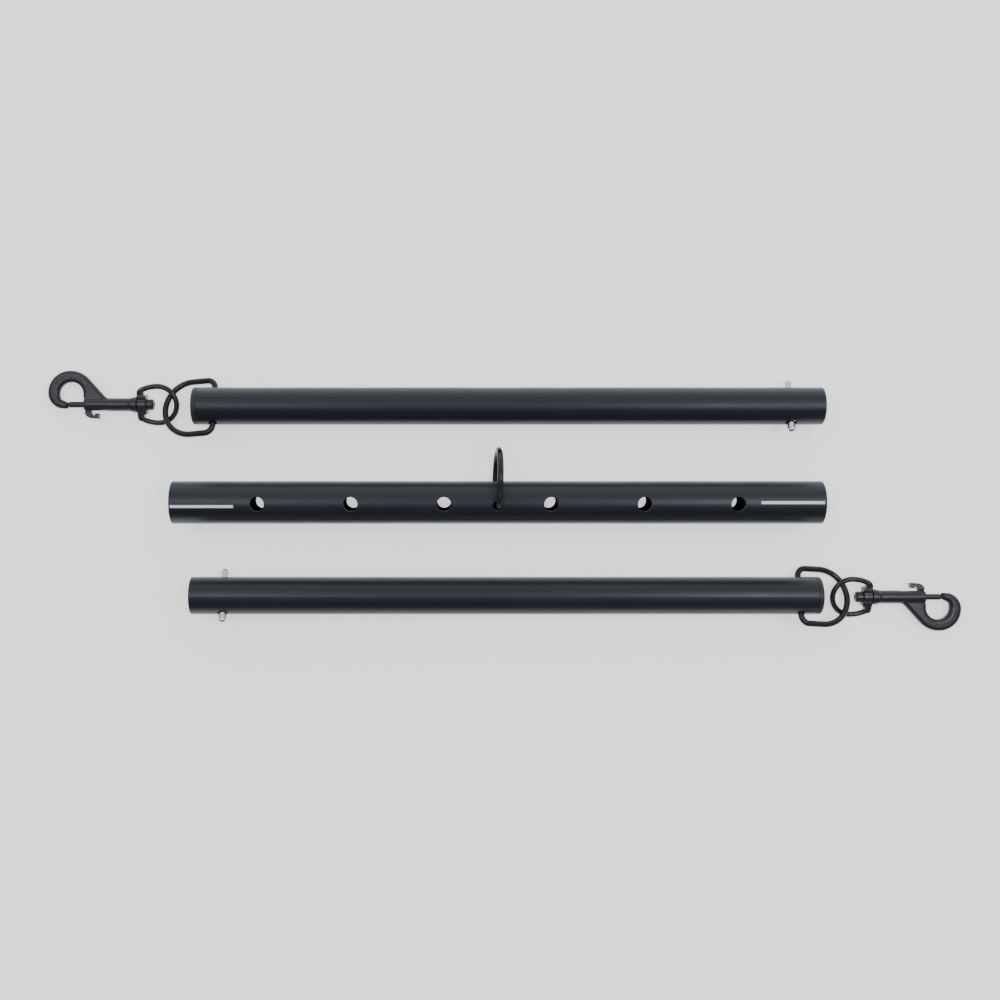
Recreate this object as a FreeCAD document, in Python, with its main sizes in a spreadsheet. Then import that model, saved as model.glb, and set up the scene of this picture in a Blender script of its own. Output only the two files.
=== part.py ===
import FreeCAD, Part

import math
import os

import Sketcher
from FreeCAD import Placement, Rotation, Vector

# An adjustable spreader bar, laid out in its three sections: a perforated centre tube with a
# swinging D-ring, and on each side of it an outer tube with two snap buttons at the end that goes
# into the centre tube, and a D-ring and a swivel bolt snap at the other end.
#
# Row frame: +X along the tubes, +Z up, origin on the floor in the middle of the layout.
# The left section lies on the +Y side with its hook towards -X, and the right section on the
# -Y side with its hook towards +X. Each section has a frame of its own: origin at the centre of
# its end plug's face, x outwards along the tube, z up.

X, Y, Z = Vector(1, 0, 0), Vector(0, 1, 0), Vector(0, 0, 1)
ORIGIN = Vector()
SIDES = ("left", "right")

# Driving dimensions in millimetres and degrees: alias, value, meaning.
CELLS = (
    ("tube_wall", 1.2, "wall of all three tubes"),
    ("deburr", 0.3, "rounding of the tubes' rims and of their holes' outer edges"),
    ("centre_od", 25.0, "centre tube, outside diameter"),
    ("centre_length", 380.0, "centre tube, length"),
    ("centre_x", -4.4, "centre tube, middle along X"),
    ("centre_y", -1.6, "centre tube, axis along Y"),
    ("centre_z", 17.8, "centre tube, height of its axis"),
    ("lock_hole_od", 8.2, "lock hole, diameter"),
    ("lock_hole_first", 31.0, "first lock hole, from the middle of the centre tube"),
    ("lock_hole_pitch", 54.0, "from one lock hole to the next"),
    ("lock_roll", 5.0, "lock holes, turned about the tube from upright"),
    ("centre_ring_roll", 9.0, "centre ring's holes, turned about the tube from upright"),
    ("centre_ring_lean", 3.0, "centre ring's bar, leaning along the tube inside its holes"),
    ("centre_ring_swing", 2.0, "centre ring, swung towards +X from square to the tube"),
    ("outer_od", 22.0, "outer tube, outside diameter"),
    ("outer_length", 368.8, "outer tube, length without its plug's flange"),
    ("left_face_x", -183.7, "left end plug's face along X"),
    ("left_axis_y", 55.4, "left tube's axis along Y"),
    ("right_face_x", 186.8, "right end plug's face along X"),
    ("right_axis_y", -56.7, "right tube's axis along Y"),
    ("ring_wire_od", 3.6, "D-ring, wire diameter"),
    ("ring_width", 37.0, "D-ring, outside width along its straight bar"),
    ("ring_reach", 32.6, "D-ring, from its bar's centreline to the outside of its bow"),
    ("ring_corner", 5.0, "D-ring, corner radius at the wire's centreline"),
    ("ring_hole_od", 5.2, "tube hole for a D-ring's bar, diameter"),
    ("ring_inset", 12.0, "end ring's bar, from the plug's face"),
    ("end_ring_roll", 18.0, "end ring's bar, turned about the tube from level"),
    ("end_ring_droop", 12.3, "end ring, angle below level"),
    ("plug_flange", 2.8, "end plug, flange thickness"),
    ("plug_round", 1.0, "end plug, rounding of the flange's rim"),
    ("plug_insert", 6.4, "end plug, depth inside the tube"),
    ("plug_wall", 1.6, "end plug, wall of its cup"),
    ("plug_gap", 0.05, "end plug, gap to the tube"),
    ("button_inset", 19.0, "buttons, from the tube's open end"),
    ("button_roll", 18.0, "buttons' axis, turned about the tube from level"),
    ("button_od", 5.0, "button, diameter"),
    ("button_hole_od", 6.8, "button's hole in the outer tube, diameter"),
    ("button_rise", 5.5, "button, height above the tube's surface"),
    ("button_round", 2.0, "button, rounding of its tip"),
    ("button_flange_od", 7.6, "button, flange diameter"),
    ("button_flange", 0.8, "button, flange thickness"),
    ("button_foot", 7.9, "button, underside of its flange from the tube's axis"),
    ("leaf_thickness", 0.7, "button spring, strip thickness"),
    ("leaf_width", 6.0, "button spring, strip width"),
    ("leaf_end", 13.0, "button spring, free ends from the tube's open end"),
    ("leaf_bend", 60.0, "button spring, centre of its bend from the tube's open end"),
    ("leaf_bend_radius", 3.0, "button spring, outer radius of its bend"),
    ("leaf_angle", 6.1, "button spring, angle of each leg to the tube's axis"),
    ("snap_side", -1.3, "swivel snap's axis, offset along the section frame's y"),
    ("snap_z", 4.75, "swivel snap's axis, height"),
    ("left_eye_x", 34.6, "left swivel eye, front of its strap from the plug's face"),
    ("right_eye_x", 32.7, "right swivel eye, front of its strap from the plug's face"),
    ("eye_roll", 14.0, "swivel eye, turned about the snap's axis from level"),
    ("eye_wire_od", 3.3, "swivel eye, wire diameter"),
    ("eye_bow_radius", 11.0, "swivel eye, bow radius at the wire's centreline"),
    ("eye_bow_x", 12.2, "swivel eye, centre of its bow behind the strap's front"),
    ("eye_side_radius", 22.0, "swivel eye, radius of its flatter sides at the centreline"),
    ("eye_side_run", 10.0, "swivel eye, run of its flatter sides along x"),
    ("strap_thickness", 3.8, "swivel eye, strap along x"),
    ("strap_width", 19.4, "swivel eye, strap along y"),
    ("strap_chamfer", 2.0, "swivel eye, chamfer of the strap's front corners"),
    ("strap_height", 4.4, "swivel eye, strap along z"),
    ("boss_od", 8.6, "swivel eye, round boss"),
    ("boss_width", 11.2, "swivel eye, cheeks of the boss along y"),
    ("boss_height", 6.4, "swivel eye, cheeks of the boss along z"),
    ("boss_length", 5.6, "swivel eye, boss along x"),
    ("swivel_hole_od", 4.8, "swivel eye, hole for the rivet"),
    ("rivet_od", 4.4, "swivel rivet, shank diameter"),
    ("rivet_head_od", 6.5, "swivel rivet, head diameter"),
    ("rivet_head", 4.0, "swivel rivet, head length"),
    ("rivet_head_round", 1.2, "swivel rivet, rounding of its head"),
    ("rivet_dish_od", 3.4, "swivel rivet, dish in its head, diameter"),
    ("rivet_dish", 0.7, "swivel rivet, depth of the dish"),
    ("collar_od", 9.2, "swivel rivet, collar diameter"),
    ("collar_length", 2.1, "swivel rivet, collar length"),
    ("stub_od", 3.6, "swivel rivet, stub pressed into the barrel, diameter"),
    ("stub_length", 4.4, "swivel rivet, stub length"),
    ("swivel_gap", 0.2, "gap at each side of the swivel eye's boss"),
    ("barrel_od", 7.8, "hook barrel, diameter"),
    ("barrel_length", 29.3, "hook barrel, length"),
    ("bead_od", 8.4, "hook barrel, bead at its rear end, diameter"),
    ("bead_length", 2.0, "hook barrel, bead length"),
    ("hook_thickness", 5.5, "hook, thickness of its loop and web"),
    ("hook_round", 2.2, "hook, rounding of its edges"),
    ("hole_x", 7.7, "hook's hole, centre in front of the barrel's face"),
    ("hole_side", 6.3, "hook's hole, centre to the side of the barrel's axis"),
    ("hole_radius", 7.0, "hook's hole, radius"),
    ("hole_start_x", 0.8, "hook's hole, where it leaves the barrel's face"),
    ("back_x", 8.4, "hook's back, centre in front of the barrel's face"),
    ("back_side", 7.0, "hook's back, centre to the side of the barrel's axis"),
    ("back_radius", 13.3, "hook's back, radius"),
    ("shoulder_radius", 15.0, "hook's shoulder, radius between its back and its slope"),
    ("slope_angle", 48.0, "hook's slope, angle to the barrel's axis"),
    ("tip_radius", 9.7, "hook's tip, outer radius"),
    ("nose_x", 9.9, "hook's nose, end face in front of the barrel's face"),
    ("nose_inner_side", 1.3, "hook's nose, inner corner to the side of the axis"),
    ("nose_start_x", 14.0, "hook's nose, where its inner edge leaves the hole"),
    ("nose_round", 1.0, "hook's nose, rounding of its end's corners"),
    ("web_radius", 7.0, "hook's web, radius where it runs into the barrel"),
    ("web_end_side", 3.3, "hook's web, side of the axis where it ends"),
    ("bore_od", 4.2, "barrel's bore, diameter"),
    ("bore_depth", 24.0, "barrel's bore, depth"),
    ("slot_width", 2.8, "barrel's slot, width"),
    ("slot_length", 14.2, "barrel's slot, length"),
    ("bolt_od", 3.6, "latch bolt, diameter"),
    ("bolt_front", 9.7, "latch bolt, tip in front of the barrel's face"),
    ("bolt_back", 10.0, "latch bolt, shoulder behind the barrel's face"),
    ("bolt_tail_od", 2.0, "latch bolt, tail inside the spring, diameter"),
    ("bolt_tail", 3.0, "latch bolt, tail length"),
    ("bolt_tip_round", 0.6, "latch bolt, chamfer of its tip"),
    ("stem_front", 0.4, "thumb tab's stem, front behind the barrel's face"),
    ("stem_back", 4.2, "thumb tab's stem, back behind the barrel's face"),
    ("stem_width", 2.4, "thumb tab's stem, width"),
    ("tab_height", 8.5, "thumb tab, outermost point from the axis"),
    ("tab_under", 5.3, "thumb tab, underside from the axis"),
    ("tab_back", 8.8, "thumb tab, rear end behind the barrel's face"),
    ("tab_width", 4.4, "thumb tab, width"),
    ("tab_round", 4.2, "thumb tab, radius of its outer curve"),
    ("tab_fall", 0.3, "thumb tab, rise of its back from the outer curve to its end"),
    ("tab_lip", 2.2, "thumb tab, thickness of its turned-in end"),
    ("tab_thickness", 1.9, "thumb tab, thickness of its back"),
    ("tab_inner_round", 2.6, "thumb tab, radius of its inner curve"),
    ("tab_clearance", 0.5, "thumb tab, from the barrel's surface to the root of its curve"),
    ("coil_od", 3.65, "latch spring, outside diameter"),
    ("coil_wire_od", 0.45, "latch spring, wire diameter"),
    ("coil_turns", 8.0, "latch spring, number of turns"),
    ("coil_gap", 0.05, "latch spring, gap at each end"),
)

doc = FreeCAD.newDocument("spreader_bar")
sheet = doc.addObject("Spreadsheet::Sheet", "sheet")
for row, (alias, value, meaning) in enumerate(CELLS, 1):
    sheet.set(f"A{row}", meaning)
    sheet.set(f"B{row}", str(value))
    sheet.setAlias(f"B{row}", alias)
doc.recompute()

nodes = []


def size(alias):
    return float(sheet.get(alias))


def formula(words):
    """A formula of aliases, such as 'outer_od / 2', as the sheet's own expression."""
    known = {alias for alias, _, _ in CELLS}
    return " ".join(f"sheet.{w}" if w in known else w for w in words.split())


def bind(feature, **formulas):
    for name, words in formulas.items():
        feature.setExpression(name, formula(words))
    return feature


def node(feature, name, place=None):
    """Name a finished sub-part, and put it in its place in the row frame."""
    feature.Label = name
    if place is not None:
        feature.Placement = place
    nodes.append(feature)


# ---------------------------------------------------------------- solids from Part


def rod(name, diameter, length, start=ORIGIN, axis=X):
    """A round bar from start along axis."""
    feature = doc.addObject("Part::Cylinder", name)
    feature.Placement = Placement(start, Rotation(Z, axis))
    return bind(feature, Radius=f"( {diameter} ) / 2", Height=length)


def cross_rod(name, diameter, centre, axis):
    """A round bar right through a tube, for cutting a pair of opposite holes."""
    half = axis * size("centre_od")
    return rod(name, diameter, "2 * centre_od", centre - half, axis)


def block(name, length, width, height, corner):
    """A block along x, y and z. corner is its place, and it is centred across y and z."""
    feature = doc.addObject("Part::Box", name)
    bind(feature, Length=length, Width=width, Height=height)
    doc.recompute()
    centring = Vector(0, -feature.Width.Value / 2, -feature.Height.Value / 2)
    feature.Placement = Placement(corner + centring, Rotation())
    return feature


def ball(name, diameter, centre):
    feature = doc.addObject("Part::Sphere", name)
    feature.Placement = Placement(centre, Rotation())
    return bind(feature, Radius=f"( {diameter} ) / 2")


def bend(name, radius, wire, centre, first, sweep):
    """A bent round wire in the XY plane, from the angle first and on through sweep."""
    feature = doc.addObject("Part::Torus", name)
    feature.Placement = Placement(centre, Rotation(Z, first))
    feature.Angle3 = sweep
    return bind(feature, Radius1=radius, Radius2=f"{wire} / 2")


def fuse(name, parts):
    feature = doc.addObject("Part::MultiFuse", name)
    feature.Shapes = parts
    feature.Refine = True
    return feature


def cut(name, base, tools):
    feature = doc.addObject("Part::Cut", name)
    feature.Base = base
    feature.Tool = tools[0] if len(tools) == 1 else fuse(f"{name}_tools", tools)
    return feature


def deburred(name, tube, diameter):
    """A tube along x, diameter wide, with its end rims and its holes' outer edges rounded."""
    doc.recompute()
    outside = size(diameter) / 2
    rounded = []
    for index, edge in enumerate(tube.Shape.Edges, 1):
        points = edge.discretize(9)
        at_rim = max(p.x for p in points) - min(p.x for p in points) < 1e-3
        on_outside = all(abs(math.hypot(p.y, p.z) - outside) < 0.01 for p in points)
        if (at_rim or on_outside) and not isinstance(edge.Curve, Part.Line):
            rounded.append(index)
    feature = doc.addObject("Part::Fillet", name)
    feature.Base = tube
    feature.Edges = [(index, size("deburr"), size("deburr")) for index in rounded]
    return feature


# ---------------------------------------------------------------- solids from PartDesign


def origin_feature(body, role):
    return next(f for f in body.Origin.OriginFeatures if f.Role == role)


def arc_between(start, end, radius, side):
    """The arc under half a turn from start to end whose centre is on the left, 1, or right, -1."""
    chord = end - start
    left = Vector(-chord.y, chord.x, 0).normalize()
    rise = math.sqrt(max(radius**2 - (chord.Length / 2) ** 2, 0))
    centre = (start + end) / 2 + left * rise * side
    begin, finish = (start, end) if side > 0 else (end, start)
    angles = [math.atan2((p - centre).y, (p - centre).x) for p in (begin, finish)]
    if angles[1] < angles[0]:
        angles[1] += 2 * math.pi
    return Part.ArcOfCircle(Part.Circle(centre, Z, radius), *angles)


def outline(body, corners):
    """A closed sketch on the body's XY plane, with every size bound to the sheet.

    corners lists (x, y) or (x, y, radius, side) in formulas. With a radius, an arc runs from that
    corner to the next, with its centre on the left, 1, or on the right, -1.
    """
    sketch = body.newObject("Sketcher::SketchObject", f"{body.Name}_outline")
    sketch.AttachmentSupport = [(origin_feature(body, "XY_Plane"), "")]
    sketch.MapMode = "FlatFace"
    points = [Vector(*(float(sketch.evalExpression(formula(w))) for w in c[:2])) for c in corners]
    ends = []
    for index, corner in enumerate(corners):
        start, end = points[index], points[(index + 1) % len(points)]
        if len(corner) == 2:
            sketch.addGeometry(Part.LineSegment(start, end))
            ends.append((1, 2))
            continue
        radius = float(sketch.evalExpression(formula(corner[2])))
        sketch.addGeometry(arc_between(start, end, radius, corner[3]))
        ends.append((1, 2) if corner[3] > 0 else (2, 1))
    for index in range(len(corners)):
        after = (index + 1) % len(corners)
        joint = Sketcher.Constraint("Coincident", index, ends[index][1], after, ends[after][0])
        sketch.addConstraint(joint)
    for index, (corner, point) in enumerate(zip(corners, points)):
        for kind, words, value in zip(("DistanceX", "DistanceY"), corner, (point.x, point.y)):
            distance = Sketcher.Constraint(kind, -1, 1, index, ends[index][0], value)
            number = sketch.addConstraint(distance)
            sketch.setExpression(f"Constraints[{number}]", formula(words))
        if len(corner) == 4:
            radius = sketch.Geometry[index].Radius
            number = sketch.addConstraint(Sketcher.Constraint("Radius", index, radius))
            sketch.setExpression(f"Constraints[{number}]", formula(corner[2]))
    return sketch


def turned(name, corners, axis="X_Axis"):
    """A lathe-turned body from its half section."""
    body = doc.addObject("PartDesign::Body", name)
    sketch = outline(body, corners)
    feature = body.newObject("PartDesign::Revolution", f"{name}_turning")
    feature.Profile = sketch
    feature.ReferenceAxis = (origin_feature(body, axis), [""])
    feature.Angle = 360
    return body


def plate(name, corners, thickness):
    """A flat body of even thickness, centred on the XY plane."""
    body = doc.addObject("PartDesign::Body", name)
    sketch = outline(body, corners)
    feature = body.newObject("PartDesign::Pad", f"{name}_pad")
    feature.Profile = sketch
    feature.SideType = "Symmetric"
    bind(feature, Length=thickness)
    return body


# ---------------------------------------------------------------- places


def section_place(side):
    turn = 180 if side == "left" else 0
    base = Vector(size(f"{side}_face_x"), size(f"{side}_axis_y"), size("outer_od") / 2)
    return Placement(base, Rotation(Z, turn))


def roll_sign(side):
    """Both rings and both pairs of buttons have their -Y ends raised."""
    return 1 if side == "left" else -1


def end_ring_place(side):
    roll = Rotation(X, roll_sign(side) * size("end_ring_roll"))
    droop = Rotation(Y, size("end_ring_droop"))
    return section_place(side) * Placement(Vector(-size("ring_inset"), 0, 0), roll * droop)


def snap_place(side, x, roll=0.0):
    """A place on the swivel snap's axis, x in front of the plug's face."""
    base = Vector(x, size("snap_side"), size("snap_z") - size("outer_od") / 2)
    return section_place(side) * Placement(base, Rotation(X, roll))


def hook_place(side):
    """The middle of the barrel's front face."""
    behind = size("swivel_gap") + size("collar_length") + size("barrel_length")
    return snap_place(side, size(f"{side}_eye_x") + behind)


# ---------------------------------------------------------------- centre section


def centre_tube():
    half = size("centre_length") / 2
    start = Vector(-half, 0, 0)
    outside = rod("centre_tube_outside", "centre_od", "centre_length", start)
    inside = rod("centre_tube_inside", "centre_od - 2 * tube_wall", "centre_length", start)
    lock_axis = Rotation(X, size("lock_roll")).multVec(Z)
    ring_axis = Rotation(X, size("centre_ring_roll")).multVec(Z)
    holes = [cross_rod("centre_ring_hole", "ring_hole_od", ORIGIN, ring_axis)]
    for step in range(3):
        reach = size("lock_hole_first") + step * size("lock_hole_pitch")
        for sign, side in ((-1, "left"), (1, "right")):
            name = f"lock_hole_{side}_{step + 1}"
            holes.append(cross_rod(name, "lock_hole_od", Vector(sign * reach, 0, 0), lock_axis))
    perforated = cut("centre_tube_cut", outside, [inside] + holes)
    tube = deburred("centre_tube_solid", perforated, "centre_od")
    node(tube, "centre_tube", Placement(centre_of_tube(), Rotation()))


def centre_of_tube():
    return Vector(size("centre_x"), size("centre_y"), size("centre_z"))


def d_ring(name):
    """A closed D of round wire in the XY plane: its straight bar along y, its bow towards +x."""
    half = (size("ring_width") - size("ring_wire_od")) / 2
    reach = size("ring_reach") - size("ring_wire_od") / 2
    corner = size("ring_corner")
    bar_half, bow_x = half - corner, reach - half
    half_words = "( ring_width - ring_wire_od ) / 2"
    leg = f"ring_reach - ring_wire_od / 2 - {half_words} - ring_corner"
    bar = f"2 * ( {half_words} - ring_corner )"
    parts = [
        rod(f"{name}_bar", "ring_wire_od", bar, Vector(0, -bar_half, 0), Y),
        bend(f"{name}_bow", half_words, "ring_wire_od", Vector(bow_x, 0, 0), -90, 180),
    ]
    for sign, first in ((1, 90), (-1, 180)):
        side = "a" if sign > 0 else "b"
        centre = Vector(corner, sign * bar_half, 0)
        start = Vector(corner, sign * half, 0)
        parts.append(bend(f"{name}_corner_{side}", "ring_corner", "ring_wire_od", centre, first, 90))
        parts.append(rod(f"{name}_leg_{side}", "ring_wire_od", leg, start))
    return fuse(f"{name}_solid", parts)


def centre_ring():
    """It stands across the tube with its bow towards +Y."""
    upright = Rotation(Vector(1, 1, 1), 120)
    lean = Rotation(Y, size("centre_ring_lean"))
    swing = Rotation(Y, -size("centre_ring_swing"))
    turn = Rotation(X, size("centre_ring_roll")) * lean * upright * swing
    node(d_ring("centre_ring"), "centre_ring", Placement(centre_of_tube(), turn))


# ---------------------------------------------------------------- outer sections


def outer_tube(side):
    flange, inset = size("plug_flange"), size("button_inset")
    start = Vector(-flange, 0, 0)
    name = f"{side}_tube"
    outside = rod(f"{name}_outside", "outer_od", "outer_length", start, -X)
    inside = rod(f"{name}_inside", "outer_od - 2 * tube_wall", "outer_length", start, -X)
    ring_axis = Rotation(X, roll_sign(side) * size("end_ring_roll")).multVec(Y)
    button_axis = Rotation(X, roll_sign(side) * size("button_roll")).multVec(Y)
    ring_at = Vector(-size("ring_inset"), 0, 0)
    buttons_at = Vector(-flange - size("outer_length") + inset, 0, 0)
    holes = [
        cross_rod(f"{name}_ring_hole", "ring_hole_od", ring_at, ring_axis),
        cross_rod(f"{name}_button_hole", "button_hole_od", buttons_at, button_axis),
    ]
    drilled = cut(f"{name}_cut", outside, [inside] + holes)
    tube = deburred(f"{name}_solid", drilled, "outer_od")
    node(tube, name, section_place(side))


def end_plug(side):
    """A hollow cup pushed into the tube, with a flange as wide as the tube."""
    rim = "outer_od / 2"
    insert = "outer_od / 2 - tube_wall - plug_gap"
    inner = f"{insert} - plug_wall"
    deep = "- plug_flange - plug_insert"
    body = turned(
        f"{side}_end_plug_body",
        (
            ("0", "0"),
            ("0", f"{rim} - plug_round", "plug_round", 1),
            ("- plug_round", rim),
            ("- plug_flange", rim),
            ("- plug_flange", insert),
            (deep, insert),
            (deep, inner),
            ("- plug_flange", inner),
            ("- plug_flange", "0"),
        ),
    )
    node(body, f"{side}_end_plug", section_place(side))


def end_ring(side):
    node(d_ring(f"{side}_end_ring"), f"{side}_end_ring", end_ring_place(side))


def button_place(side, turn=0.0):
    """The tube's axis at the buttons, with y along the buttons' axis."""
    x = -size("plug_flange") - size("outer_length") + size("button_inset")
    roll = Rotation(X, roll_sign(side) * size("button_roll") + turn)
    return section_place(side) * Placement(Vector(x, 0, 0), roll)


def snap_button(side, name, turn):
    """A chromed stud with a flange that keeps it inside the tube, drawn along y."""
    shank, flange = "button_od / 2", "button_flange_od / 2"
    top = "outer_od / 2 + button_rise"
    tip = "button_od / 2 - button_round"
    body = turned(
        f"{name}_body",
        (
            ("0", "button_foot"),
            (flange, "button_foot"),
            (flange, "button_foot + button_flange"),
            (shank, "button_foot + button_flange"),
            (shank, f"{top} - button_round", "button_round", 1),
            (tip, top),
            ("0", top),
        ),
        "Y_Axis",
    )
    node(body, name, button_place(side, turn))


def button_spring(side):
    """A strip bent to a V, whose two legs press the buttons outwards."""
    name = f"{side}_button_spring"
    sine, cosine = "sin( leaf_angle * 1deg )", "cos( leaf_angle * 1deg )"
    bend_x = "( leaf_bend - button_inset )"
    free_x = "leaf_end - button_inset"
    outer, inner = "leaf_bend_radius", "( leaf_bend_radius - leaf_thickness )"

    def free_end(radius):
        return f"( {radius} + ( leaf_bend - leaf_end ) * {sine} ) / {cosine}"

    def leg_start(radius):
        return f"{bend_x} + {radius} * {sine}", f"{radius} * {cosine}"

    outer_x, outer_y = leg_start(outer)
    inner_x, inner_y = leg_start(inner)
    body = plate(
        f"{name}_body",
        (
            (free_x, f"- {free_end(outer)}"),
            (outer_x, f"- {outer_y}", outer, 1),
            (f"{bend_x} + {outer}", "0", outer, 1),
            (outer_x, outer_y),
            (free_x, free_end(outer)),
            (free_x, free_end(inner)),
            (inner_x, inner_y, inner, -1),
            (f"{bend_x} + {inner}", "0", inner, -1),
            (inner_x, f"- {inner_y}"),
            (free_x, f"- {free_end(inner)}"),
        ),
        "leaf_width",
    )
    node(body, name, button_place(side))


# ---------------------------------------------------------------- swivel bolt snap


def swivel_eye(side):
    """The eye that links into the end ring: a bow of round wire closed by a strap with a boss."""
    name = f"{side}_swivel_eye"
    bow_x, bow, flat = size("eye_bow_x"), size("eye_bow_radius"), size("eye_side_radius")
    run = size("eye_side_run")
    sweep = math.degrees(math.asin(run / flat))
    rise = math.sqrt(flat**2 - run**2) - (flat - bow)
    parts = [bend(f"{name}_bow", "eye_bow_radius", "eye_wire_od", Vector(-bow_x, 0, 0), 90, 180)]
    for sign, first, letter in ((1, 90 - sweep, "a"), (-1, 270, "b")):
        centre = Vector(-bow_x, sign * (bow - flat), 0)
        end = Vector(run - bow_x, sign * rise, 0)
        side_bend = f"{name}_side_{letter}"
        parts.append(bend(side_bend, "eye_side_radius", "eye_wire_od", centre, first, sweep))
        parts.append(ball(f"{name}_shoulder_{letter}", "eye_wire_od", end))
    half, cut_half = "strap_width / 2", "strap_width / 2 - strap_chamfer"
    strap = plate(
        f"{name}_strap",
        (
            ("- strap_thickness", f"- {half}"),
            ("- strap_chamfer / 2", f"- {half}"),
            ("0", f"- ( {cut_half} )"),
            ("0", cut_half),
            ("- strap_chamfer / 2", half),
            ("- strap_thickness", half),
        ),
        "strap_height",
    )
    boss_back = Vector(-size("boss_length"), 0, 0)
    parts += [
        strap,
        block(f"{name}_cheeks", "boss_length", "boss_width", "boss_height", boss_back),
        rod(f"{name}_boss", "boss_od", "boss_length", boss_back),
    ]
    hole = rod(f"{name}_hole", "swivel_hole_od", "3 * boss_length", 2 * boss_back)
    place = snap_place(side, size(f"{side}_eye_x"), -roll_sign(side) * size("eye_roll"))
    node(cut(f"{name}_solid", fuse(f"{name}_blank", parts), [hole]), name, place)


def swivel_rivet(side):
    """The headed pin that the eye turns on. Its stub is pressed into the barrel's rear end."""
    name = f"{side}_swivel_rivet"
    collar = "- barrel_length - collar_length"
    shank = f"{collar} - 2 * swivel_gap - boss_length"
    head = f"{shank} - rivet_head"
    body = turned(
        f"{name}_body",
        (
            ("stub_length - barrel_length", "0"),
            ("stub_length - barrel_length", "stub_od / 2"),
            ("- barrel_length", "stub_od / 2"),
            ("- barrel_length", "collar_od / 2"),
            (collar, "collar_od / 2"),
            (collar, "rivet_od / 2"),
            (shank, "rivet_od / 2"),
            (shank, "rivet_head_od / 2"),
            (f"{head} + rivet_head_round", "rivet_head_od / 2", "rivet_head_round", 1),
            (head, "rivet_head_od / 2 - rivet_head_round"),
            (head, "rivet_dish_od / 2"),
            (f"{head} + rivet_dish", "0"),
        ),
    )
    node(body, name, hook_place(side))


def hook_blade(name):
    """The hook's loop, nose and web: a flat casting with rounded edges, its loop towards -y.

    The hole and the back of the loop are arcs. The back opens out over a shoulder into a straight
    slope, and that runs into the barrel in a hollow curve.
    """
    sine, cosine = "sin( slope_angle * 1deg )", "cos( slope_angle * 1deg )"
    slope_x = f"back_x - shoulder_radius * {sine}"
    slope_side = f"back_side + back_radius - shoulder_radius * ( 1 - {cosine} )"
    hollow_side = f"web_end_side + web_radius * ( 1 - {cosine} )"
    hollow_x = f"{slope_x} - ( {slope_side} - ( {hollow_side} ) ) * {cosine} / {sine}"
    web_end_x = f"{hollow_x} - web_radius * {sine}"
    hole_start = "sqrt( hole_radius ^ 2 - ( hole_x - hole_start_x ) ^ 2 ) - hole_side"
    nose_start = "sqrt( hole_radius ^ 2 - ( nose_start_x - hole_x ) ^ 2 ) - hole_side"
    tip_x = "( back_x + back_radius - tip_radius )"
    nose_tip = f"sqrt( tip_radius ^ 2 - ( {tip_x} - nose_x ) ^ 2 ) - back_side"
    body = plate(
        f"{name}_blade",
        (
            ("0", "0"),
            ("0", "- barrel_od / 2"),
            ("hole_start_x", hole_start, "hole_radius", 1),
            ("hole_x", "- hole_side - hole_radius", "hole_radius", 1),
            ("nose_start_x", nose_start),
            ("nose_x", "- nose_inner_side"),
            ("nose_x", nose_tip, "tip_radius", -1),
            ("back_x + back_radius", "- back_side", "back_radius", -1),
            ("back_x", "- back_side - back_radius", "shoulder_radius", -1),
            (slope_x, f"- ( {slope_side} )"),
            (hollow_x, f"- ( {hollow_side} )", "web_radius", 1),
            (web_end_x, "- web_end_side"),
            (web_end_x, "0"),
        ),
        "hook_thickness",
    )
    nose = body.newObject("PartDesign::Fillet", f"{name}_nose_rounding")
    rounding = body.newObject("PartDesign::Fillet", f"{name}_rounding")
    doc.recompute()
    pad = next(f for f in body.Group if f.TypeId == "PartDesign::Pad")
    at_nose = edges_where(pad, lambda vertex: abs(vertex.X - size("nose_x")) < 0.01)
    upright = [edge_name for edge_name, edge in at_nose if abs(edge.tangentAt(0).z) > 0.9]
    nose.Base = (pad, upright)
    bind(nose, Radius="nose_round")
    doc.recompute()
    rim = size("hook_thickness") / 2
    flat = edges_where(nose, lambda vertex: abs(abs(vertex.Z) - rim) < 1e-6)
    curved = [edge_name for edge_name, edge in flat if isinstance(edge.Curve, Part.Circle)]
    rounding.Base = (nose, curved)
    bind(rounding, Radius="hook_round")
    body.Tip = rounding
    return body


def edges_where(feature, test):
    """(name, edge) for each of a feature's edges whose ends all pass a test."""
    edges = enumerate(feature.Shape.Edges, 1)
    return [(f"Edge{i}", edge) for i, edge in edges if all(test(v) for v in edge.Vertexes)]


def hook_body(side):
    """The casting: barrel, web and loop in one piece, bored for the latch bolt and its spring."""
    name = f"{side}_hook_body"
    rear = Vector(-size("barrel_length"), 0, 0)
    bore_end = Vector(-size("bore_depth"), 0, 0)
    slot_end = Vector(-size("slot_length"), 0, 0)
    blank = fuse(
        f"{name}_blank",
        [
            hook_blade(name),
            rod(f"{name}_barrel", "barrel_od", "barrel_length", rear),
            rod(f"{name}_bead", "bead_od", "bead_length", rear),
        ],
    )
    slot = block(f"{name}_slot", "2 * slot_length", "barrel_od", "slot_width", slot_end)
    slot.Placement.Base = slot.Placement.Base + Y * (size("barrel_od") / 2)
    tools = [
        rod(f"{name}_bore", "bore_od", "bore_depth + 1", bore_end),
        rod(f"{name}_stub_hole", "stub_od", "stub_length", rear),
        slot,
    ]
    node(cut(f"{name}_solid", blank, tools), name, hook_place(side))


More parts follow.
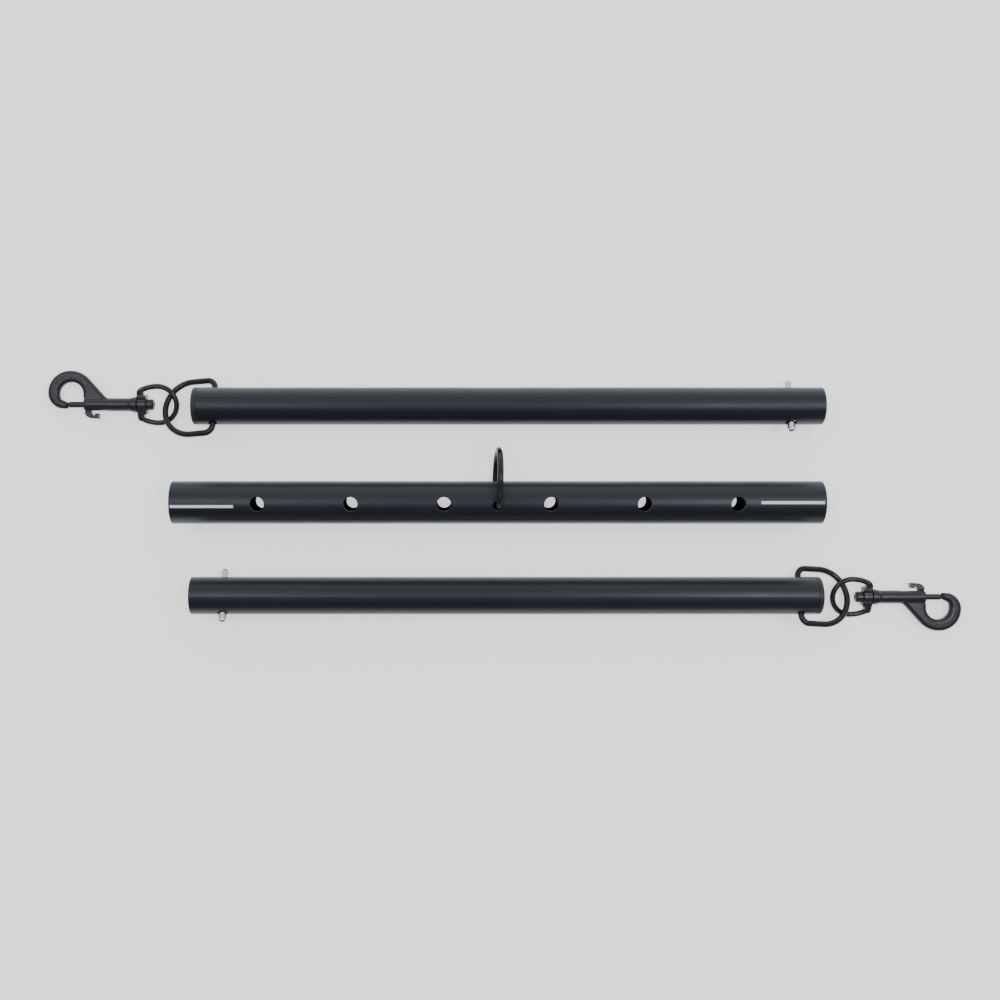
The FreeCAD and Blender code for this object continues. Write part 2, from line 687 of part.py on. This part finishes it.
def latch_bolt(side):
    """The pin that closes the hook, with the curled thumb tab that draws it back."""
    name = f"{side}_latch_bolt"
    radius, tail = "bolt_od / 2", "bolt_tail_od / 2"
    pin = turned(
        f"{name}_pin",
        (
            ("bolt_front", "0"),
            ("bolt_front", f"{radius} - bolt_tip_round"),
            ("bolt_front - bolt_tip_round", radius),
            ("- bolt_back", radius),
            ("- bolt_back", tail),
            ("- bolt_back - bolt_tail", tail),
            ("- bolt_back - bolt_tail", "0"),
        ),
    )
    stem_top = "barrel_od / 2 + tab_clearance"
    curl_x, lip_x = "- stem_front - tab_round", "- tab_back + tab_lip"
    tab = plate(
        f"{name}_tab",
        (
            ("- stem_front", stem_top, "tab_round", 1),
            (curl_x, "tab_height - tab_fall"),
            ("- tab_back", "tab_height"),
            ("- tab_back", "tab_under"),
            (lip_x, "tab_under"),
            (lip_x, "tab_height - tab_thickness", "tab_inner_round", -1),
            ("- stem_back", stem_top),
        ),
        "tab_width",
    )
    stem_back = Vector(-size("stem_back"), 0, 0)
    stem = block(f"{name}_stem", "stem_back - stem_front", "tab_under", "stem_width", stem_back)
    stem.Placement.Base = stem.Placement.Base + Y * (size("tab_under") / 2)
    node(fuse(f"{name}_solid", [pin, tab, stem]), name, hook_place(side))


def latch_spring(side):
    """A coil spring between the latch bolt's shoulder and the blind end of the bore."""
    name = f"{side}_latch_spring"
    radius = (size("coil_od") - size("coil_wire_od")) / 2
    wire = size("coil_wire_od") / 2
    length = size("bore_depth") - size("bolt_back") - 2 * (size("coil_gap") + wire)
    path = Part.makeHelix(length / size("coil_turns"), length, radius)
    start = Part.Wire(Part.makeCircle(wire, Vector(radius, 0, 0), Y))
    coil = Part.Wire(path).makePipeShell([start], True, True)
    feature = doc.addObject("Part::Feature", f"{name}_solid")
    feature.Shape = coil
    along = Placement(Vector(-size("bore_depth") + size("coil_gap") + wire, 0, 0), Rotation(Z, X))
    node(feature, name, hook_place(side) * along)


# ---------------------------------------------------------------- build, check and write

centre_tube()
centre_ring()
for side in SIDES:
    outer_tube(side)
    end_plug(side)
    end_ring(side)
    snap_button(side, f"{side}_button_front", 180.0 if side == "right" else 0.0)
    snap_button(side, f"{side}_button_back", 0.0 if side == "right" else 180.0)
    button_spring(side)
    swivel_eye(side)
    swivel_rivet(side)
    hook_body(side)
    latch_bolt(side)
    latch_spring(side)
doc.recompute()

failed = [f"{o.Name}: {o.State}" for o in doc.Objects if {"Invalid", "Error"} & set(o.State)]
for feature in nodes:
    shape = feature.Shape
    if shape.isNull() or not shape.isValid() or len(shape.Solids) != 1:
        failed.append(f"{feature.Label}: not one valid solid")
if failed:
    raise RuntimeError("; ".join(failed))

os.makedirs("parts", exist_ok=True)
for feature in nodes:
    feature.Shape.exportStep(f"parts/{feature.Label}.step")
    box = feature.Shape.BoundBox
    print(f"{feature.Label:24} {feature.Shape.Volume:9.1f} mm3  z {box.ZMin:6.2f} to {box.ZMax:6.2f}")
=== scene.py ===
import math

import bmesh
import bpy
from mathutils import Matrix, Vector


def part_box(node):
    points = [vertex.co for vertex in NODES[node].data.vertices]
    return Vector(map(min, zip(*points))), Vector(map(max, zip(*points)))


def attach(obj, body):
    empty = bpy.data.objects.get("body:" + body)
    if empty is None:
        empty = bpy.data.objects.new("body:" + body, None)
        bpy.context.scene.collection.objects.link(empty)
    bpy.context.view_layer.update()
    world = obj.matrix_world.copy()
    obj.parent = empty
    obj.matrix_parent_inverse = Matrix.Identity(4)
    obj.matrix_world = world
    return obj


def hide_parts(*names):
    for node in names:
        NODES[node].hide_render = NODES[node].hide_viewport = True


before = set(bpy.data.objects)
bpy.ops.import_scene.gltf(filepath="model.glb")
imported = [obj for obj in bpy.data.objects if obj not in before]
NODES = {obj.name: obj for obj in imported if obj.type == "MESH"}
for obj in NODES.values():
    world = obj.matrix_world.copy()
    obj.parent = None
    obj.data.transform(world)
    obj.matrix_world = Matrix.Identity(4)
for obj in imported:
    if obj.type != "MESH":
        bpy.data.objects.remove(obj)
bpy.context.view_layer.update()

# An adjustable spreader bar in its three sections, seen from straight above on a pale table.
# The CAD nodes that are plain turned or drawn shapes keep their meshes and get finishes here.
# The hooks, swivel eyes and latch bolts are replaced by the same shapes with the blended corners
# of a casting, and the centre tube gets its two printed setting marks.

MM = 0.001
SIDES = ("left", "right")

# Castings: the mesh size that rounds their corners.
CASTING_GRAIN = 0.22 * MM
BOLT_GRAIN = 0.16 * MM
WELD_DISTANCE = 0.001 * MM

# The two printed marks on the centre tube. An angle is from the top of the tube towards -Y.
MARK_LENGTH = 36.5 * MM
MARK_WIDTH = 1.7 * MM
MARK_LIFT = 0.03 * MM
LEFT_MARK_INSET, LEFT_MARK_ANGLE = 1.0 * MM, 11
RIGHT_MARK_INSET, RIGHT_MARK_ANGLE = 1.5 * MM, 0.5

# The room: a table on the floor plane and boxes of light at one height, all in metres.
TABLE_HALF_WIDTH = 40.0
LAMP_HEIGHT = 1.6


# ---------------------------------------------------------------- node material helpers


def new_material(name):
    material = bpy.data.materials.new(name)
    material.use_nodes = True
    tree = material.node_tree
    return material, tree, tree.nodes["Principled BSDF"]


def noise(tree, scale, detail=3.0, roughness=0.5, stretch=(1, 1, 1)):
    """A noise pattern in the row frame. scale is in cycles per metre."""
    place = tree.nodes.new("ShaderNodeTexCoord")
    mapping = tree.nodes.new("ShaderNodeMapping")
    mapping.inputs["Scale"].default_value = stretch
    texture = tree.nodes.new("ShaderNodeTexNoise")
    texture.inputs["Scale"].default_value = scale
    texture.inputs["Detail"].default_value = detail
    texture.inputs["Roughness"].default_value = roughness
    tree.links.new(place.outputs["Object"], mapping.inputs["Vector"])
    tree.links.new(mapping.outputs["Vector"], texture.inputs["Vector"])
    return texture.outputs["Fac"]


def spread(tree, value, low, high, start=0.35, end=0.65):
    """Map a pattern from start..end to low..high."""
    node = tree.nodes.new("ShaderNodeMapRange")
    for name, number in zip(("From Min", "From Max", "To Min", "To Max"), (start, end, low, high)):
        node.inputs[name].default_value = number
    tree.links.new(value, node.inputs["Value"])
    return node.outputs["Result"]


def blend_colours(tree, value, dark, light):
    node = tree.nodes.new("ShaderNodeMix")
    node.data_type = "RGBA"
    tree.links.new(value, node.inputs["Factor"])
    node.inputs["A"].default_value = (*dark, 1)
    node.inputs["B"].default_value = (*light, 1)
    return node.outputs["Result"]


def bump(tree, shader, height, depth, strength=1.0, below=None):
    """Bump of a real depth in metres, on top of the bump below it."""
    node = tree.nodes.new("ShaderNodeBump")
    node.inputs["Distance"].default_value = depth
    node.inputs["Strength"].default_value = strength
    tree.links.new(height, node.inputs["Height"])
    if below is not None:
        tree.links.new(below, node.inputs["Normal"])
    tree.links.new(node.outputs["Normal"], shader.inputs["Normal"])
    return node.outputs["Normal"]


# ---------------------------------------------------------------- materials


def satin_coat():
    """Satin black powder coat: a fine orange peel, and a slightly uneven sheen along the tube."""
    material, tree, shader = new_material("satin_black_coat")
    clouds = noise(tree, 14, detail=4, stretch=(0.35, 1, 1))
    colour = blend_colours(tree, clouds, (0.0072, 0.0080, 0.0125), (0.0112, 0.0124, 0.0185))
    tree.links.new(colour, shader.inputs["Base Color"])
    handled = noise(tree, 45, detail=5, roughness=0.6, stretch=(0.5, 1, 1))
    tree.links.new(spread(tree, handled, 0.34, 0.41), shader.inputs["Roughness"])
    peel = bump(tree, shader, noise(tree, 900, detail=2), 0.000012)
    bump(tree, shader, noise(tree, 3600, detail=2), 0.000004, below=peel)
    shader.inputs["Specular Tint"].default_value = (0.84, 0.88, 1.0, 1)
    return material


def semigloss_coat(name, dark, light, waviness):
    """Semi-gloss black coat over bent wire or a casting, which shows through as soft waves."""
    material, tree, shader = new_material(name)
    worn = noise(tree, 160, detail=5, roughness=0.65)
    tree.links.new(blend_colours(tree, worn, dark, light), shader.inputs["Base Color"])
    tree.links.new(spread(tree, noise(tree, 420, detail=4), 0.20, 0.28), shader.inputs["Roughness"])
    waves = bump(tree, shader, noise(tree, 230, detail=2), waviness)
    bump(tree, shader, noise(tree, 2600, detail=2), 0.000006, below=waves)
    shader.inputs["Specular IOR Level"].default_value = 0.35
    return material


def chrome():
    """Bright chrome plate with faint turning lines round the button."""
    material, tree, shader = new_material("chrome_plate")
    shader.inputs["Metallic"].default_value = 1.0
    tint = blend_colours(tree, noise(tree, 300, detail=3), (0.72, 0.73, 0.75), (0.84, 0.85, 0.87))
    tree.links.new(tint, shader.inputs["Base Color"])
    tree.links.new(spread(tree, noise(tree, 900, detail=4), 0.05, 0.13), shader.inputs["Roughness"])
    bump(tree, shader, noise(tree, 1500, detail=2, stretch=(1, 6, 1)), 0.000004)
    return material


def moulded_plastic():
    """Black moulded plastic with a fine spark-eroded grain."""
    material, tree, shader = new_material("black_moulded_plastic")
    colour = blend_colours(tree, noise(tree, 80), (0.010, 0.010, 0.011), (0.017, 0.017, 0.018))
    tree.links.new(colour, shader.inputs["Base Color"])
    tree.links.new(spread(tree, noise(tree, 600), 0.42, 0.56), shader.inputs["Roughness"])
    bump(tree, shader, noise(tree, 3000, detail=4), 0.00002)
    return material


def spring_steel():
    """Plain drawn spring steel, slightly oily."""
    material, tree, shader = new_material("spring_steel")
    shader.inputs["Metallic"].default_value = 1.0
    streaks = noise(tree, 700, detail=4, stretch=(0.1, 1, 1))
    colour = blend_colours(tree, streaks, (0.33, 0.32, 0.31), (0.46, 0.45, 0.44))
    tree.links.new(colour, shader.inputs["Base Color"])
    tree.links.new(spread(tree, streaks, 0.26, 0.42), shader.inputs["Roughness"])
    bump(tree, shader, streaks, 0.000006)
    return material


def white_print():
    """Screen-printed white ink, slightly thin in places."""
    material, tree, shader = new_material("white_print")
    ink = noise(tree, 1400, detail=4, roughness=0.6)
    colour = blend_colours(tree, ink, (0.86, 0.86, 0.85), (0.95, 0.95, 0.94))
    tree.links.new(colour, shader.inputs["Base Color"])
    tree.links.new(spread(tree, ink, 0.45, 0.6), shader.inputs["Roughness"])
    bump(tree, shader, ink, 0.00001)
    return material


def table_top():
    """Plain white table."""
    material, tree, shader = new_material("white_table")
    colour = blend_colours(tree, noise(tree, 3), (0.90, 0.90, 0.90), (0.92, 0.92, 0.92))
    tree.links.new(colour, shader.inputs["Base Color"])
    shader.inputs["Roughness"].default_value = 0.75
    shader.inputs["Emission Color"].default_value = (1.0, 1.0, 1.0, 1)
    shader.inputs["Emission Strength"].default_value = 0.9
    return material


# ---------------------------------------------------------------- pieces


def finish_node(name, material):
    slots = NODES[name].data.materials
    slots.clear()
    slots.append(material)


def casting(node, body, voxel, passes, material):
    """The node's shape with the rounded inner and outer corners of a casting."""
    piece = NODES[node].copy()
    piece.data = NODES[node].data.copy()
    piece.name = f"{node}_casting"
    piece.parent = None
    for key in list(piece.keys()):
        if key.startswith("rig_"):
            del piece[key]
    bpy.context.scene.collection.objects.link(piece)
    weld = bmesh.new()
    weld.from_mesh(piece.data)
    bmesh.ops.remove_doubles(weld, verts=weld.verts, dist=WELD_DISTANCE)
    weld.to_mesh(piece.data)
    weld.free()
    remesh = piece.modifiers.new("remesh", "REMESH")
    remesh.mode = "VOXEL"
    remesh.voxel_size = voxel
    remesh.use_smooth_shade = True
    smooth = piece.modifiers.new("smooth", "CORRECTIVE_SMOOTH")
    smooth.iterations = passes
    smooth.use_only_smooth = True
    depsgraph = bpy.context.evaluated_depsgraph_get()
    mesh = bpy.data.meshes.new_from_object(piece.evaluated_get(depsgraph))
    piece.modifiers.clear()
    piece.data = mesh
    mesh.materials.clear()
    mesh.materials.append(material)
    mesh.shade_smooth()
    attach(piece, body)
    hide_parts(node)
    return piece


def printed_mark(name, start, angle, material):
    """A white line printed along the centre tube, from start towards +X."""
    low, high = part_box("centre_tube")
    radius = (high.z - low.z) / 2
    centre_y, centre_z = (low.y + high.y) / 2, (low.z + high.z) / 2
    steps_along, steps_across = 24, 6
    mesh = bmesh.new()
    rows = []
    for i in range(steps_along + 1):
        x = start + MARK_LENGTH * i / steps_along
        row = []
        for j in range(steps_across + 1):
            turn = math.radians(angle) + (j / steps_across - 0.5) * MARK_WIDTH / radius
            reach = radius + MARK_LIFT
            y, z = centre_y - reach * math.sin(turn), centre_z + reach * math.cos(turn)
            row.append(mesh.verts.new((x, y, z)))
        rows.append(row)
    for one, two in zip(rows, rows[1:]):
        for j in range(steps_across):
            mesh.faces.new((one[j], one[j + 1], two[j + 1], two[j]))
    data = bpy.data.meshes.new(name)
    bmesh.ops.recalc_face_normals(mesh, faces=mesh.faces)
    mesh.to_mesh(data)
    mesh.free()
    piece = bpy.data.objects.new(name, data)
    bpy.context.scene.collection.objects.link(piece)
    data.materials.append(material)
    data.shade_smooth()
    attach(piece, "centre_tube")
    return piece


# ---------------------------------------------------------------- stage


def stage():
    """A white table, larger than any view."""
    mesh = bpy.data.meshes.new("table")
    half = TABLE_HALF_WIDTH
    corners = [(-half, -half, 0), (half, -half, 0), (half, half, 0), (-half, half, 0)]
    mesh.from_pydata(corners, [], [(0, 1, 2, 3)])
    table = bpy.data.objects.new("table", mesh)
    bpy.context.scene.collection.objects.link(table)
    mesh.materials.append(table_top())



def studio_walls():
    """Soft light from all round, which grows from the -Y wall over the ceiling to the +Y wall."""
    overhead, wall_ratio = 0.5, 2.9
    world = bpy.data.worlds.new("studio")
    bpy.context.scene.world = world
    world.use_nodes = True
    tree = world.node_tree
    direction = tree.nodes.new("ShaderNodeTexCoord")
    split = tree.nodes.new("ShaderNodeSeparateXYZ")
    grow = tree.nodes.new("ShaderNodeMath")
    grow.operation = "POWER"
    grow.inputs[0].default_value = wall_ratio
    level = tree.nodes.new("ShaderNodeMath")
    level.operation = "MULTIPLY"
    level.inputs[1].default_value = overhead
    tree.links.new(direction.outputs["Generated"], split.inputs["Vector"])
    tree.links.new(split.outputs["Y"], grow.inputs[1])
    tree.links.new(grow.outputs["Value"], level.inputs[0])
    tree.links.new(level.outputs["Value"], tree.nodes["Background"].inputs["Strength"])
    tree.nodes["Background"].inputs["Color"].default_value = (0.94, 0.97, 1.0, 1)


def soft_box(name, x, y, width, depth, power):
    """A lamp that points straight down. width is along X and depth along Y."""
    light = bpy.data.lights.new(name, "AREA")
    light.shape = "RECTANGLE"
    light.size, light.size_y = width, depth
    light.energy = power
    lamp = bpy.data.objects.new(name, light)
    lamp.location = (x, y, LAMP_HEIGHT)
    bpy.context.scene.collection.objects.link(lamp)


def camera():
    """Straight above, with the view's middle 45 thousandths of its width to the right of it."""
    lens = bpy.data.cameras.new("camera")
    lens.lens = 44.2
    lens.sensor_width = 36.0
    lens.shift_x = 0.045
    view = bpy.data.objects.new("camera", lens)
    view.location = (-0.029, -0.0002, 0.7375)
    bpy.context.scene.collection.objects.link(view)
    bpy.context.scene.camera = view


# ---------------------------------------------------------------- build

camera()
stage()
studio_walls()
# Two wide boxes shine on the ends of the tubes, and two narrow strips on the snaps' barrels.
soft_box("right_box", 0.63, 0.0, 0.26, 0.46, 5.8)
soft_box("left_box", -0.49, 0.0, 0.22, 0.46, 2.9)
soft_box("right_glint", 0.82, 0.45, 0.50, 0.10, 2.4)
soft_box("left_glint", -0.78, 0.45, 0.50, 0.10, 2.4)

tube_finish = satin_coat()
ring_finish = semigloss_coat("black_wire", (0.010, 0.010, 0.012), (0.016, 0.016, 0.019), 0.000015)
snap_finish = semigloss_coat("black_casting", (0.018, 0.018, 0.024), (0.028, 0.028, 0.036), 0.00002)
button_finish, plug_finish, spring_finish = chrome(), moulded_plastic(), spring_steel()
print_finish = white_print()

for name in ("centre_tube", "left_tube", "right_tube"):
    finish_node(name, tube_finish)
for name in ("centre_ring", "left_end_ring", "right_end_ring"):
    finish_node(name, ring_finish)
for side in SIDES:
    finish_node(f"{side}_end_plug", plug_finish)
    finish_node(f"{side}_button_front", button_finish)
    finish_node(f"{side}_button_back", button_finish)
    finish_node(f"{side}_button_spring", spring_finish)
    finish_node(f"{side}_latch_spring", spring_finish)
    finish_node(f"{side}_swivel_rivet", snap_finish)
    casting(f"{side}_hook_body", f"{side}_hook", CASTING_GRAIN, 10, snap_finish)
    casting(f"{side}_swivel_eye", f"{side}_swivel_eye", CASTING_GRAIN, 10, snap_finish)
    casting(f"{side}_latch_bolt", f"{side}_latch_bolt", BOLT_GRAIN, 5, snap_finish)

tube_low, tube_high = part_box("centre_tube")
left_start = tube_low.x + LEFT_MARK_INSET
right_start = tube_high.x - RIGHT_MARK_INSET - MARK_LENGTH
printed_mark("left_setting_mark", left_start, LEFT_MARK_ANGLE, print_finish)
printed_mark("right_setting_mark", right_start, RIGHT_MARK_ANGLE, print_finish)
